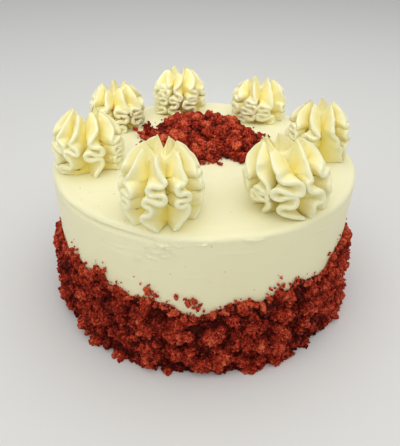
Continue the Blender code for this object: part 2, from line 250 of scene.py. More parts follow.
def makeIcing(look):  # cream cheese icing, spread with a palette knife: pale, satin, with a few pin-holes coloured darker as painted shade
    material, shader = newMaterial("creamCheeseIcingSpread", {
        "Roughness": 0.46, "IOR": 1.45, "Subsurface Weight": 0.25,
        "Subsurface Radius": (1.0, 0.8, 0.45), "Subsurface Scale": 3.0 * mm})
    place = addNode(material, "ShaderNodeTexCoord").outputs["Object"]
    cloud = addNoise(material, place, look["cloudSpacing"], 3.0)
    tint = mixColours(material, cloud, look["light"], look["deep"])
    bubbles = addNode(material, "ShaderNodeTexVoronoi", {"Scale": 1 / (look["holeSpacing"] * mm)},
                      {"Vector": place})
    edge = look["holeRadius"] / look["holeSpacing"]
    solid = addNode(material, "ShaderNodeMapRange", {"From Min": edge * 0.5, "From Max": edge},
                    {"Value": bubbles.outputs["Distance"]}).outputs["Result"]
    # painted shade in the pin-holes, over the cloudy tint of the icing
    shadedPits = mixColours(material, solid, look["hole"], tint)
    material.node_tree.links.new(shadedPits, shader.inputs["Base Color"])
    grain = addNoise(material, place, look["grainSpacing"], 4.0)
    height = addNode(material, "ShaderNodeMath", {"operation": "MULTIPLY_ADD", 1: look["holeDepth"]},
                     {0: solid, 2: grain}).outputs["Value"]
    addBump(material, shader, height, *look["bump"])
    return material


# painted light and shade: the pale lit colour of the ridges, and the warm yellow painted as shade deep in the
# folds
buttercreamLook = {"ridge": "#F5F1C6", "valley": "#F2DF70", "grainSpacing": 1.6, "bump": (0.2, 0.12)}


def makeButtercream(look):  # whipped buttercream from a star nozzle: painted light, paler, on the ridges, and painted warm shade in the folds
    material, shader = newMaterial("pipedButtercream", {
        "Roughness": 0.42, "IOR": 1.45, "Subsurface Weight": 0.12,
        "Subsurface Radius": (1.0, 0.95, 0.8), "Subsurface Scale": 1.2 * mm})
    place = addNode(material, "ShaderNodeTexCoord").outputs["Object"]
    # 0 for the painted shade in the valleys, 1 for the painted light on the fins' edges
    fold = addNode(material, "ShaderNodeAttribute", {"attribute_name": "paintedRidgeLight"}).outputs["Fac"]
    tint = mixColours(material, fold, look["valley"], look["ridge"])
    material.node_tree.links.new(tint, shader.inputs["Base Color"])
    grain = addNoise(material, place, look["grainSpacing"], 3.0)
    addBump(material, shader, grain, *look["bump"])
    return material


crumbLook = {
    # painted light and shade: how open or high the crumb is, and its colour there, from painted shade in the
    # gaps to a painted highlight
    # painted shade: the colour deep in the gaps
    "gap": (0.52, "#420902"),
    "dark": (0.70, "#992511"),
    "middle": (0.90, "#CB482E"),
    "bright": (1.0, "#E0724A"),
    "poreSpacing": 1.5,
    "poreShadeContrast": 1.6,
    "bump": (0.9, 0.8),
}


def makeCrumb(look):  # baked red velvet sponge rubbed to crumbs: open, matt, each crumb its own tone, with painted shade in its gaps and pores and painted highlights where it stands out
    material, shader = newMaterial("redVelvetSpongeCrumb", {
        "Roughness": 0.92, "IOR": 1.4, "Specular IOR Level": 0.25})
    place = addNode(material, "ShaderNodeTexCoord").outputs["Object"]
    # each crumb's own tone, with painted light where it stands out and painted shade in the gaps
    tone = addNode(material, "ShaderNodeAttribute", {"attribute_name": "tone"}).outputs["Fac"]
    # painted shade in the pores and painted light on the grains between them, from the noise that also drives
    # the bump
    pores = addNoise(material, place, look["poreSpacing"], 4.0, 0.8)
    both = addNode(material, "ShaderNodeMath", {"operation": "MULTIPLY_ADD", 1: look["poreShadeContrast"]},
                   {0: pores, 2: tone}).outputs["Value"]
    ramp = addNode(material, "ShaderNodeValToRGB", {}, {"Fac": both})
    stops = ramp.color_ramp.elements
    for number, shade in enumerate(("gap", "bright")):
        position, colour = look[shade]
        stops[number].position, stops[number].color = position, linearColour(colour)
    for shade in ("dark", "middle"):
        position, colour = look[shade]
        stops.new(position).color = linearColour(colour)
    material.node_tree.links.new(ramp.outputs["Color"], shader.inputs["Base Color"])
    addBump(material, shader, pores, *look["bump"])
    return material


icing = makeIcing(icingLook)
buttercream = makeButtercream(buttercreamLook)
crumb = makeCrumb(crumbLook)
print("materials are made")

# the iced cake

cake = {
    "radius": 100.0,
    "height": 98.0,
    "sides": 600,
    "sideRows": 92,  # rows of faces on the side above the crumb band
    "coveredFrom": 40.0,  # below this height the band hides the side
    "coveredRows": 6,
    "topRings": 50,
    "footRings": (0.98, 0.9, 0.6, 0.3, 0.0),  # shares of the radius
    "rimRounding": 3.0,
    "rimSteps": 8,
    "rimWave": 0.9,
    "rimWaves": 4.0,  # the more, the shorter the waves of the rim
    "rimZone": 20.0,  # how far down the waves reach
    "rimReach": 1.5,  # how far over the rim the strokes of the side reach
    "footFade": 20.0,  # these strokes fade out below this height
    "topFade": 6.0,  # and those of the top this far in from the rim
    "sharpAngle": 50.0,
    # knife strokes: how many, and their half length, half width and lift
    "sideStrokes": {"seed": 51, "count": 70, "length": (8.0, 34.0), "width": (1.5, 6.0),
                    "lift": (0.10, 0.34)},
    "topStrokes": {"seed": 52, "count": 60, "length": (8.0, 30.0), "width": (2.0, 7.0),
                   "lift": (0.08, 0.30)},
    "smears": {"seed": 53, "count": 85, "length": (1.6, 4.2), "width": (0.8, 1.5), "lift": (0.35, 0.9)},
    # azimuth, height and spread of the short smears
    "smearPlaces": ((-104.0, 88.0, 5.5), (-99.0, 90.0, 5.0), (-108.0, 82.0, 6.0), (-88.5, 96.0, 4.5),
                    (-73.0, 96.0, 3.5)),
    # the icing folded over the rim: azimuths, and millimetres
    "lip": {"from": -148.0, "to": -104.0, "below": 4.6, "depth": 1.7, "width": 1.1},
}


def drawStrokes(settings, draw, places):  # place, half length, half width, slant and lift of each stroke
    strokes = []
    for across, up, slant in places:
        length, width, lift = [draw.uniform(*settings[key]) for key in ("length", "width", "lift")]
        strokes.append((across, up, length, width, slant + draw.uniform(-0.25, 0.25), lift))
    return strokes


def knifeLift(across, up, strokes, wrap):  # each stroke rises to one side and ends there in a small lip
    lift = np.zeros_like(across)
    crest, fall = 0.8, 4.0  # where across a stroke its lip stands, and how steeply it falls from there
    for place, level, length, width, slant, height in strokes:
        apart = (across - place + wrap / 2.0) % wrap - wrap / 2.0
        along = (apart * math.cos(slant) + (up - level) * math.sin(slant)) / length
        aside = ((up - level) * math.cos(slant) - apart * math.sin(slant)) / width
        rising, falling = (np.clip(1.0 + aside, 0.0, 2.0) / 2.0) ** 2, np.clip(1.0 - aside, 0.0, 1.0) * fall
        lift += height * np.where(aside < crest, rising, falling) * np.clip(1.0 - along ** 2, 0.0, 1.0)
    return lift


def sideLift(size, angle, height):  # relief of the side: long strokes, short smears and the folded lip
    degrees = (np.degrees(angle) + 180.0) % 360.0 - 180.0
    arc = np.radians(degrees) * size["radius"]
    half = math.pi * size["radius"]
    draw = random.Random(size["sideStrokes"]["seed"])
    places = [(draw.uniform(-half, half), draw.uniform(40.0, size["height"]), 0.0)
              for number in range(size["sideStrokes"]["count"])]
    strokes = drawStrokes(size["sideStrokes"], draw, places)
    draw = random.Random(size["smears"]["seed"])
    places = []
    for number in range(size["smears"]["count"]):
        azimuth, level, spread = size["smearPlaces"][number % len(size["smearPlaces"])]
        places.append((math.radians(azimuth) * size["radius"] + draw.gauss(0.0, spread),
                       level + draw.gauss(0.0, spread / 2.0), draw.uniform(-0.2, 0.6)))
    strokes += drawStrokes(size["smears"], draw, places)
    lip = size["lip"]
    within = np.clip((degrees - lip["from"]) / (lip["to"] - lip["from"]), 0.0, 1.0)
    fold = np.exp(-((height - size["height"] + lip["below"]) / lip["width"]) ** 2)
    folded = lip["depth"] * np.sin(math.pi * within) ** 0.5 * fold
    return knifeLift(arc, height, strokes, 2.0 * half) - folded


def topLift(size, x, y):  # relief of the top: long strokes round the middle
    draw = random.Random(size["topStrokes"]["seed"])
    places = []
    for number in range(size["topStrokes"]["count"]):
        turn, away = draw.uniform(0.0, math.tau), size["radius"] * math.sqrt(draw.random())
        places.append((away * math.cos(turn), away * math.sin(turn), turn + math.pi / 2.0))
    strokes = drawStrokes(size["topStrokes"], draw, places)
    return knifeLift(x, y, strokes, 8.0 * size["radius"])  # so wide that no stroke wraps


def makeCake(size):
    inner, sideTop = size["radius"] - size["rimRounding"], size["height"] - size["rimRounding"]
    profile = [(inner * ring / size["topRings"], size["height"]) for ring in range(size["topRings"])]
    for step in range(size["rimSteps"] + 1):
        turn = math.radians(90.0 - 90.0 * step / size["rimSteps"])
        profile.append((size["radius"] - size["rimRounding"] * (1.0 - math.cos(turn)),
                        size["height"] - size["rimRounding"] * (1.0 - math.sin(turn))))
    levels = np.concatenate([np.linspace(sideTop, size["coveredFrom"], size["sideRows"] + 1)[1:],
                             np.linspace(size["coveredFrom"], 0.0, size["coveredRows"] + 1)[1:]])
    profile += [(size["radius"], level) for level in levels]
    profile += [(size["radius"] * share, 0.0) for share in size["footRings"]]
    profile = np.array(profile)
    piece, column, row = rolledGrid("icedCake", size["sides"], len(profile) - 1)
    angle = column / size["sides"] * math.tau
    radius, height = profile[row, 0], profile[row, 1]
    fade = np.clip(1.0 - (size["height"] - height) / size["rimZone"], 0.0, 1.0)
    fade = fade * (radius > 0.9 * size["radius"])
    wander = smoothNoise(onCircle(angle) * size["rimWaves"], 0)
    onSide = np.clip((radius - size["radius"] + size["rimReach"]) / size["rimReach"], 0.0, 1.0)
    onSide = onSide * np.clip(height / size["footFade"], 0.0, 1.0)
    onTop = (height > size["height"] - 0.1) * np.clip((inner - radius) / size["topFade"], 0.0, 1.0)
    lifted = topLift(size, radius * np.cos(angle), radius * np.sin(angle)) * onTop
    radius = radius + size["rimWave"] * wander * fade + sideLift(size, angle, height) * onSide
    height = height - size["rimWave"] * (0.5 + wander) * fade ** 4 + lifted
    points = np.stack([radius * np.cos(angle), radius * np.sin(angle), height], axis=1)
    writePoints(piece, points * mm)
    closeSeams(piece, 0.01 * mm)
    bpy.ops.object.shade_smooth_by_angle(angle=math.radians(size["sharpAngle"]))
    finishPiece(piece, icing, ["frosted_cake"])


makeCake(cake)
restGap = 0.3  # clear space between the icing and what rests on it
icingTop = cake["height"] + restGap
print("the iced cake is made")

# piped dollops: a loft that goes in and out round thick fins, which fold as they pile up

piping = {
    "rows": 150,  # rings from the tips to the foot
    "leafShare": 0.30,  # share of the rings in the smooth leaf above the first bend
    "widestAt": 0.30,
    "dome": (2.4, 0.62),  # how full the dollop stays towards its top
    "core": (0.54, 0.60),  # how far out the valleys lie, between the leaves and between the folds
    "finThickness": 2.7,
    "foldDepth": 0.55,  # how soon the folds fade towards the core
    "overlap": 0.13,  # how far strokes hang over each other, as a share of their length
    "gapDepth": 0.75,  # how deep the gap is between two tips, as a share of their distance
    "notch": 2.6,  # and this much more where the tips stand apart
    "notchWidth": 1.5,
    "hollow": 7.5,  # the middle of the crown, below the tips
    "crownRings": 7,
    "crownCurve": 2.2,  # the more, the thinner the petals stand round the crown
    # painted light: how pale the crown's middle is painted, like the lit ridges
    "crownLitShare": 0.75,
    "leafLitShare": 0.7,  # painted light: the leaves are at least this pale at their tips
    # curve of the painted shade from the valleys out to the edges
    "foldShadeCurve": 0.8,
    "swing": 15.48,  # degrees that a drawn bend swings to each side
    "tipReach": 0.9,
    "tipThickness": 0.26,  # share of the full thickness
    "flanks": (0.12, 0.28, 0.44, 0.60, 0.74, 0.86),
    "pathStep": 0.004,  # the steps that a fin's direction down and outwards is taken from
    "depthStep": 0.05,
    "rootFill": 0.92,  # share of a valley that the fins fill at the core
    "rootFade": (2.4, 1.2),  # how fast they thin outwards, and how much slower on the leaves
    "edgeSteps": 7,
    "rough": 0.44,
    "roughSpacing": 5.0,
    "sharpAngle": 60.0,
}

# centre, greatest radius and height; each fin has the azimuth of its root and of its leaf, counted
# from the front, its tip as (sideways, backwards, height) and its bends as (azimuth, share of the
# height), down to the foot; a fin without bends gets them from the seed
dollops = {
    "dollop_front_left": {
        "x": -22.3, "y": -77.7, "radius": 22.4, "height": 43.5, "foot": 0.82, "folds": 2.4, "seed": 11,
        "fins": (
            (-98, -100, (-6.8, 2.0, 40.8), ()),
            (-52, -40, (-5.2, 0.0, 39.2), (
                (-56, 0.61), (-39, 0.475), (-64, 0.40), (-44, 0.33), (-69, 0.22), (-51, 0.0))),
            (-5, 0, (-1.1, -1.0, 38.5), (
                (12, 0.67), (-14.3, 0.576), (10.5, 0.473), (-20.2, 0.419), (-9.6, 0.336), (-25.6, 0.176),
                (-4.7, 0.0))),
            (36, 37, (5.7, -1.0, 38.9), (
                (43.8, 0.648), (26, 0.57), (46.8, 0.44), (25.6, 0.40), (44, 0.308), (26.4, 0.0))),
            (78, 80, (7.4, 2.0, 40.6), (
                (70, 0.64), (90, 0.58), (72, 0.49), (92, 0.40), (72, 0.30), (90, 0.17), (76, 0.0))),
            (122, 118, (7.0, 4.0, 40.0), ()),
            (168, 160, (4.2, 3.0, 42.8), ()),
            (214, 230, (-1.2, 4.0, 43.0), ()))},
    "dollop_front_right": {
        "x": 48.0, "y": -61.8, "radius": 24.2, "height": 39.5, "foot": 0.85, "folds": 1.9, "seed": 12,
        "lean": -6.5,  # its top leans this far sideways
        "fins": (
            (-92, -116, (-11.0, 1.0, 38.0), (
                (-68, 0.51), (-92, 0.42), (-70, 0.34), (-98, 0.22), (-80, 0.0))),
            (-50, -60, (-10.0, 0.0, 35.6), (
                (-57, 0.70), (-31, 0.43), (-54, 0.375), (-33, 0.325), (-64, 0.27), (-32, 0.215), (-48, 0.0))),
            (-8, -28, (-5.1, -1.0, 33.6), (
                (-21, 0.66), (16.1, 0.50), (-28.7, 0.385), (5, 0.345), (-21.6, 0.13), (17, 0.0))),
            (30, 24, (5.4, 1.0, 37.9), ((28.2, 0.60), (21, 0.545), (48, 0.293), (30, 0.20), (31, 0.0))),
            (72, 101, (8.8, 3.0, 36.0), ((50, 0.645), (84, 0.50), (62, 0.36), (84, 0.22), (66, 0.0))),
            (118, 120, (7.0, 5.0, 36.5), ()),
            (165, 165, (-3.1, 3.0, 39.0), ()),
            (214, 214, (-9.0, 5.0, 37.0), ()))},
    "dollop_right": {
        "x": 75.1, "y": 1.8, "radius": 21.1, "height": 37.2, "foot": 0.97, "folds": 1.8, "seed": 13,
        "fins": (
            (-120, -120, (-10.0, 2.0, 34.0), ()),
            (-72, -79, (-7.6, 1.0, 36.2), (
                (-56, 0.60), (-78, 0.54), (-54, 0.45), (-76, 0.35), (-58, 0.2), (-68, 0.0))),
            (-24, -34, (-4.0, -0.5, 34.8), ((-11, 0.54), (-42, 0.45), (-18, 0.33), (-40, 0.2), (-22, 0.0))),
            (22, 13, (3.5, -0.5, 34.8), ((14, 0.60), (27, 0.41), (42, 0.19), (52, 0.0))),
            (66, 60, (6.0, 1.0, 35.6), (
                (48, 0.66), (64, 0.60), (48, 0.50), (66, 0.37), (50, 0.25), (64, 0.0))),
            (110, 110, (8.0, 3.0, 34.5), ()),
            (158, 158, (0.3, 3.5, 37.0), ()),
            (200, 200, (-6.0, 4.0, 35.0), ()))},
    "dollop_back_right": {
        "x": 42.4, "y": 68.0, "radius": 21.5, "height": 31.2, "foot": 0.93, "folds": 2.2, "seed": 14,
        "fins": (
            (-115, -115, (-9.0, 2.0, 28.0), ()),
            (-70, -72, (-8.5, 1.0, 28.9), ()),
            (-26, -19, (-3.0, 0.0, 28.6), (
                (-12, 0.56), (-37, 0.525), (-11, 0.37), (-45, 0.31), (-13, 0.22), (-52, 0.08), (-40, 0.0))),
            (14, 18, (5.5, 0.0, 30.6), (
                (25, 0.468), (-8, 0.43), (17, 0.304), (-9, 0.23), (34, 0.1), (28, 0.0))),
            (60, 60, (9.0, 0.5, 29.8), ((74, 0.45), (50, 0.36), (72, 0.22), (58, 0.1), (64, 0.0))),
            (104, 104, (10.0, 2.0, 28.8), ()),
            (150, 150, (5.0, 3.0, 29.5), ()),
            (200, 200, (-2.0, 3.0, 29.4), ()))},
    "dollop_back": {
        "x": -20.5, "y": 79.0, "radius": 20.8, "height": 34.8, "foot": 0.97, "folds": 2.3, "seed": 15,
        "fins": (
            (-118, -118, (-9.0, 2.0, 30.5), ()),
            (-78, -80, (-8.0, 1.0, 31.2), ()),
            (-42, -33, (-7.0, 1.0, 31.6), (
                (-26, 0.66), (-54, 0.61), (-22, 0.52), (-54, 0.43), (-26, 0.36), (-60, 0.22), (-32, 0.12),
                (-58, 0.0))),
            (-6, 14, (-0.5, 0.0, 31.0), (
                (-10, 0.626), (8, 0.441), (-20, 0.395), (-0.5, 0.30), (-22, 0.15), (6, 0.06), (0, 0.0))),
            (34, 56, (5.0, 1.0, 33.0), (
                (33, 0.625), (48, 0.48), (22, 0.42), (42, 0.36), (10, 0.29), (40, 0.14), (30, 0.0))),
            (76, 80, (9.0, 1.5, 33.6), (
                (88, 0.60), (66, 0.5), (86, 0.38), (64, 0.28), (84, 0.15), (72, 0.0))),
            (118, 118, (10.0, 2.0, 31.0), ()),
            (165, 165, (4.5, 3.5, 33.8), ()),
            (210, 210, (-3.0, 3.0, 32.4), ()))},
    "dollop_back_left": {
        "x": -65.6, "y": 45.6, "radius": 20.4, "height": 33.0, "foot": 0.93, "folds": 2.2, "seed": 16,
        "fins": (
            (-112, -112, (-8.0, 2.0, 29.5), ()),
            (-60, -52, (-5.5, 0.5, 29.0), ((-50, 0.60), (-72, 0.5), (-46, 0.38), (-70, 0.25), (-56, 0.0))),
            (-22, -12, (-3.0, -0.5, 28.0), ((-10, 0.55), (-30, 0.43), (-8, 0.33), (-30, 0.2), (-16, 0.0))),
            (18, 25, (2.0, -0.5, 29.0), (
                (35, 0.50), (5, 0.47), (32, 0.30), (8, 0.22), (27, 0.06), (20, 0.0))),
            (62, 62, (6.5, 0.5, 30.2), (
                (72, 0.48), (38, 0.44), (73, 0.31), (42, 0.26), (80, 0.05), (66, 0.0))),
            (104, 100, (9.0, 2.0, 29.5), ()),
            (150, 150, (4.0, 3.5, 29.5), ()),
            (195, 195, (-0.9, 2.0, 32.6), ()))},
    "dollop_left": {
        "x": -73.0, "y": -21.0, "radius": 22.0, "height": 37.0, "foot": 0.95, "folds": 2.0, "seed": 17,
        "fins": (
            (-135, -135, (-8.0, 6.0, 34.0), ()),
            (-88, -90, (-8.5, 2.0, 35.0), ()),
            (-45, -33, (-6.0, 0.5, 36.0), (
                (-47, 0.63), (-28, 0.48), (-68, 0.40), (-48, 0.25), (-62, 0.12), (-50, 0.0))),
            (-12, 2, (-1.8, -1.0, 34.8), (
                (-17.5, 0.596), (-3, 0.44), (-27.8, 0.425), (-17, 0.245), (-50, 0.05), (-46, 0.0))),
            (28, 42, (3.5, -1.0, 35.2), ((16, 0.61), (38, 0.425), (6, 0.40), (35, 0.263), (21, 0.0))),
            (68, 86, (8.5, 0.0, 35.6), (
                (58, 0.57), (88, 0.45), (58, 0.38), (84, 0.30), (58, 0.24), (80, 0.12), (70, 0.0))),
            (112, 115, (8.5, 3.0, 36.3), ()),
            (168, 168, (5.5, 4.0, 36.8), ()))},
}


def dollopRadius(spec, level):  # the dome that holds the fins' outer edges
    share = np.clip(level / spec["height"], 0.0, 1.0)
    swell = np.sin(np.minimum(share / piping["widestAt"], 1.0) * math.pi / 2)
    low = spec["foot"] + (1.0 - spec["foot"]) * swell
    fall = np.clip((share - piping["widestAt"]) / (1.0 - piping["widestAt"]), 0.0, 1.0)
    power, root = piping["dome"]
    return spec["radius"] * np.where(share < piping["widestAt"], low, (1.0 - fall ** power) ** root)


def drawBends(spec, draw, root):  # bends for a fin that has none of its own
    hand = draw.choice((-1.0, 1.0))
    strokes = max(2, round(2.0 * (spec["folds"] + draw.uniform(-0.3, 0.3))))
    top = draw.uniform(0.56, 0.68)
    bends = []
    for bend in range(strokes):
        share = top * (1.0 - (bend + draw.uniform(-0.12, 0.12)) / strokes)
        bends.append((root + hand * piping["swing"] * draw.uniform(0.75, 1.05), share))
        hand = -hand
    return bends + [(root + hand * piping["swing"] * draw.uniform(0.2, 0.9), 0.0)]


def planFins(spec):  # the root, leaf, tip and bends of every fin, round from the front
    draw = random.Random(spec["seed"])
    fins = []
    for root, leaf, tip, bends in spec["fins"]:
        fins.append((root, leaf, Vector(tip), bends or drawBends(spec, draw, root)))
    roots = [fin[0] for fin in fins]
    after = [math.radians((b - a) % 360.0) / 2 for a, b in zip(roots, roots[1:] + roots[:1])]
    plan = []
    for (root, leaf, tip, bends), low, high in zip(fins, after[-1:] + after[:-1], after):
        plan.append({"azimuth": math.radians(root - 90.0), "tip": tip, "before": low, "after": high,
                     "turns": np.radians([leaf - root] + [place - root for place, share in bends]),
                     "levels": np.array([tip.z] + [share * spec["height"] for place, share in bends])})
    return plan


def finPath(spec, fin, share):  # turn, folded height and plain height of a fin's edge, down its rings
    levels, turns = fin["levels"], fin["turns"]
    lengths = np.abs(np.diff(levels))[1:] + 0.4 * spec["radius"] * np.abs(np.diff(turns))[1:]
    knots = np.concatenate([[0.0], piping["leafShare"] + (1.0 - piping["leafShare"]) *
                            np.cumsum(np.concatenate([[0.0], lengths])) / lengths.sum()])
    part = np.clip(np.searchsorted(knots, share, side="right") - 1, 0, len(knots) - 2)
    along = np.clip((share - knots[part]) / (knots[part + 1] - knots[part]), 0.0, 1.0)
    move = turns[part + 1] - turns[part]
    ease = np.where(part == 0, along ** 2.2, (1.0 - np.cos(math.pi * along)) / 2)
    level = levels[part] + (levels[part + 1] - levels[part]) * along
    folding = (part > 0) * (part < len(knots) - 2)  # neither on the leaf nor on the last stroke
    hang = piping["overlap"] * np.abs(move) * dollopRadius(spec, level) * folding
    return turns[part] + move * ease, level - hang * np.sin(2 * math.pi * along), level


def finReach(spec, fin, share, level):  # a ring's pull towards the tip, and the fin's reach from there
    lean = np.clip(1.0 - share / piping["leafShare"], 0.0, 1.0)
    offset = math.hypot(fin["tip"].x, fin["tip"].y)
    return lean, np.maximum(dollopRadius(spec, level) - lean * offset, piping["tipReach"])


def coreReach(share):  # share of a fin's reach at which the valleys lie
    leaves, folds = piping["core"]
    return folds + (leaves - folds) * np.clip(1.15 - share / piping["leafShare"], 0.0, 1.0)


def finSheet(spec, fin, share, depth):  # the middle of a fin's wall: share runs down, depth out to its edge
    turn, height, level = finPath(spec, fin, share)
    lean, reach = finReach(spec, fin, share, level)
    fold = depth ** piping["foldDepth"]
    radius = reach * (coreReach(share) + (1.0 - coreReach(share)) * depth)
    azimuth = fin["azimuth"] + turn * fold
    return np.stack([fin["tip"].x * lean + radius * np.cos(azimuth),
                     fin["tip"].y * lean + radius * np.sin(azimuth),
                     level + (height - level) * fold], axis=-1)


def unit(vectors):
    return vectors / np.maximum(np.linalg.norm(vectors, axis=-1, keepdims=True), 1e-9)


def finSection(spec, fin, share):  # the points round one fin: low flank, rounded edge, high flank
    step, inwards = piping["pathStep"], piping["depthStep"]
    fill, (fade, leafFade) = piping["rootFill"], piping["rootFade"]
    leaf = np.clip(1.0 - share / piping["leafShare"], 0.0, 1.0)
    thin = piping["tipThickness"]
    full = np.minimum(1.0, thin + (1.0 - thin) * share / piping["leafShare"])[:, None]
    half = piping["finThickness"] / 2 * full
    reach = finReach(spec, fin, share, finPath(spec, fin, share)[2])[1]
    low, high, paintedRidgeLight = [], [], []
    for depth in piping["flanks"]:
        middle = finSheet(spec, fin, share, depth)
        path = finSheet(spec, fin, share + step, depth) - finSheet(spec, fin, share - step, depth)
        outwards = finSheet(spec, fin, share, depth + inwards) - finSheet(spec, fin, share, depth - inwards)
        side = unit(np.cross(outwards, path))
        radius = reach * (coreReach(share) + (1.0 - coreReach(share)) * depth)
        blend = (1.0 - depth) ** (fade - leafFade * leaf)
        for flank, sign, gap in ((low, -1.0, fin["before"]), (high, 1.0, fin["after"])):
            root = np.maximum(radius * gap * fill - half[:, 0], 0.0) * blend
            flank.append(middle + sign * side * (half + root[:, None]))
        # painted light share: painted shade at the valley, paler out towards the edge
        paintedRidgeLight.append(np.full(len(share), depth ** piping["foldShadeCurve"]))
    last = np.clip(1.0 - half[:, 0] / np.maximum(reach * (1.0 - coreReach(share)), 0.1), 0.88, 1.0)
    middle = finSheet(spec, fin, share, last)
    path = finSheet(spec, fin, share + step, last) - finSheet(spec, fin, share - step, last)
    outwards = unit(finSheet(spec, fin, share, last + 0.01) - finSheet(spec, fin, share, last - inwards))
    side = unit(np.cross(outwards, path))
    edge = []
    for number in range(piping["edgeSteps"]):
        turn = math.pi * (number / (piping["edgeSteps"] - 1) - 0.5)
        edge.append(middle + side * half * math.sin(turn) + outwards * half * math.cos(turn))
    # the rounded edges get the full painted light
    edgeRidgeLight = [np.ones(len(share))] * len(edge)
    return low + edge + high[::-1], paintedRidgeLight + edgeRidgeLight + paintedRidgeLight[::-1]


def valleyLine(spec, fin, following, share):  # the bottom of the valley between two fins
    sides = []
    for one in (fin, following):
        level = finPath(spec, one, share)[2]
        lean, reach = finReach(spec, one, share, level)
        sides.append((np.stack([one["tip"].x * lean, one["tip"].y * lean, level], axis=-1), reach))
    azimuth = fin["azimuth"] + fin["after"]
    reach = (sides[0][1] + sides[1][1]) / 2 * coreReach(share)
    apart = np.linalg.norm(sides[0][0][:, :2] - sides[1][0][:, :2], axis=1)
    line = (sides[0][0] + sides[1][0]) / 2
    line = line + np.array([math.cos(azimuth), math.sin(azimuth), 0.0]) * reach[:, None]
    notch = piping["notch"] * (1.0 - np.exp(-apart / piping["notchWidth"]))
    line[:, 2] -= apart * piping["gapDepth"] + notch
    return line


def makeDollop(node, spec):
    pieceName = "piped" + "".join(word.capitalize() for word in node.split("_"))
    share = np.linspace(0.0, 1.0, piping["rows"])
    fins = planFins(spec)
    lines, paintedRidgeLight = [], []
    for fin, following in zip(fins, fins[1:] + fins[:1]):
        points, out = finSection(spec, fin, share)
        lines += points + [valleyLine(spec, fin, following, share)]
        # the valley lines get the full painted shade
        paintedRidgeLight += out + [np.zeros(len(share))]
    # painted light on the leaves, paler towards their tips
    pale = piping["leafLitShare"] * np.clip(1.0 - share / piping["leafShare"], 0.0, 1.0)
    lines, paintedRidgeLight = np.array(lines), np.maximum(paintedRidgeLight, pale)  # line round the dollop, ring down it
    flat = lines.reshape(-1, 3) / piping["roughSpacing"]
    wobble = np.stack([smoothNoise(flat, spec["seed"] + axis) for axis in (1, 2, 3)], axis=1)
    lines = lines + (wobble * piping["rough"]).reshape(lines.shape)
    lines[:, :, 2] = np.maximum(lines[:, :, 2], 0.0)
    lines[:, -1, 2] = 0.0
    bottom = np.array([*lines[:, 0, :2].mean(axis=0),
                       sum(fin["tip"].z for fin in fins) / len(fins) - piping["hollow"]])
    out = np.arange(piping["crownRings"]) / piping["crownRings"]  # from the crown's bottom out to the tips
    rise = np.stack([out, out, out ** piping["crownCurve"]], axis=-1)
    crown = bottom + (lines[:, :1] - bottom) * rise
    foot = np.zeros((len(lines), 1, 3))
    rings = np.concatenate([crown, lines, foot], axis=1)
    # the crown is painted partly lit
    crownRidgeLight = np.full(crown.shape[:2], piping["crownLitShare"])
    ringRidgeLight = np.concatenate([crownRidgeLight, paintedRidgeLight, foot[:, :, 0]], axis=1)
    piece, column, row = rolledGrid(pieceName, len(lines), rings.shape[1] - 1)
    points = rings[column, row]
    points[:, 0] += spec.get("lean", 0.0) * points[:, 2] / spec["height"]
    points += np.array([spec["x"], spec["y"], icingTop])
    writePoints(piece, points * mm)
    # the painted light and shade of each point, read by the material
    writeAttribute(piece, "paintedRidgeLight", ringRidgeLight[column, row])
    closeSeams(piece, 0.005 * mm)
    bpy.ops.object.shade_smooth_by_angle(angle=math.radians(piping["sharpAngle"]))
    finishPiece(piece, buttercream, [node])
    return piece


pipedDollops = {node: makeDollop(node, spec) for node, spec in dollops.items()}
print("the dollops are piped")

# crumbs: a rough core of overlapping lumps, with loose crumbs on it


def crumbKinds(names, *rows):  # the settings of each kind of crumb, from a row of values
    return {kind: dict(zip(names, values)) for kind, *values in rows}


shadePerMillimetre = 0.09  # painted light and shade: how much brighter a crumb is for each millimetre that it stands out, and darker in the gaps

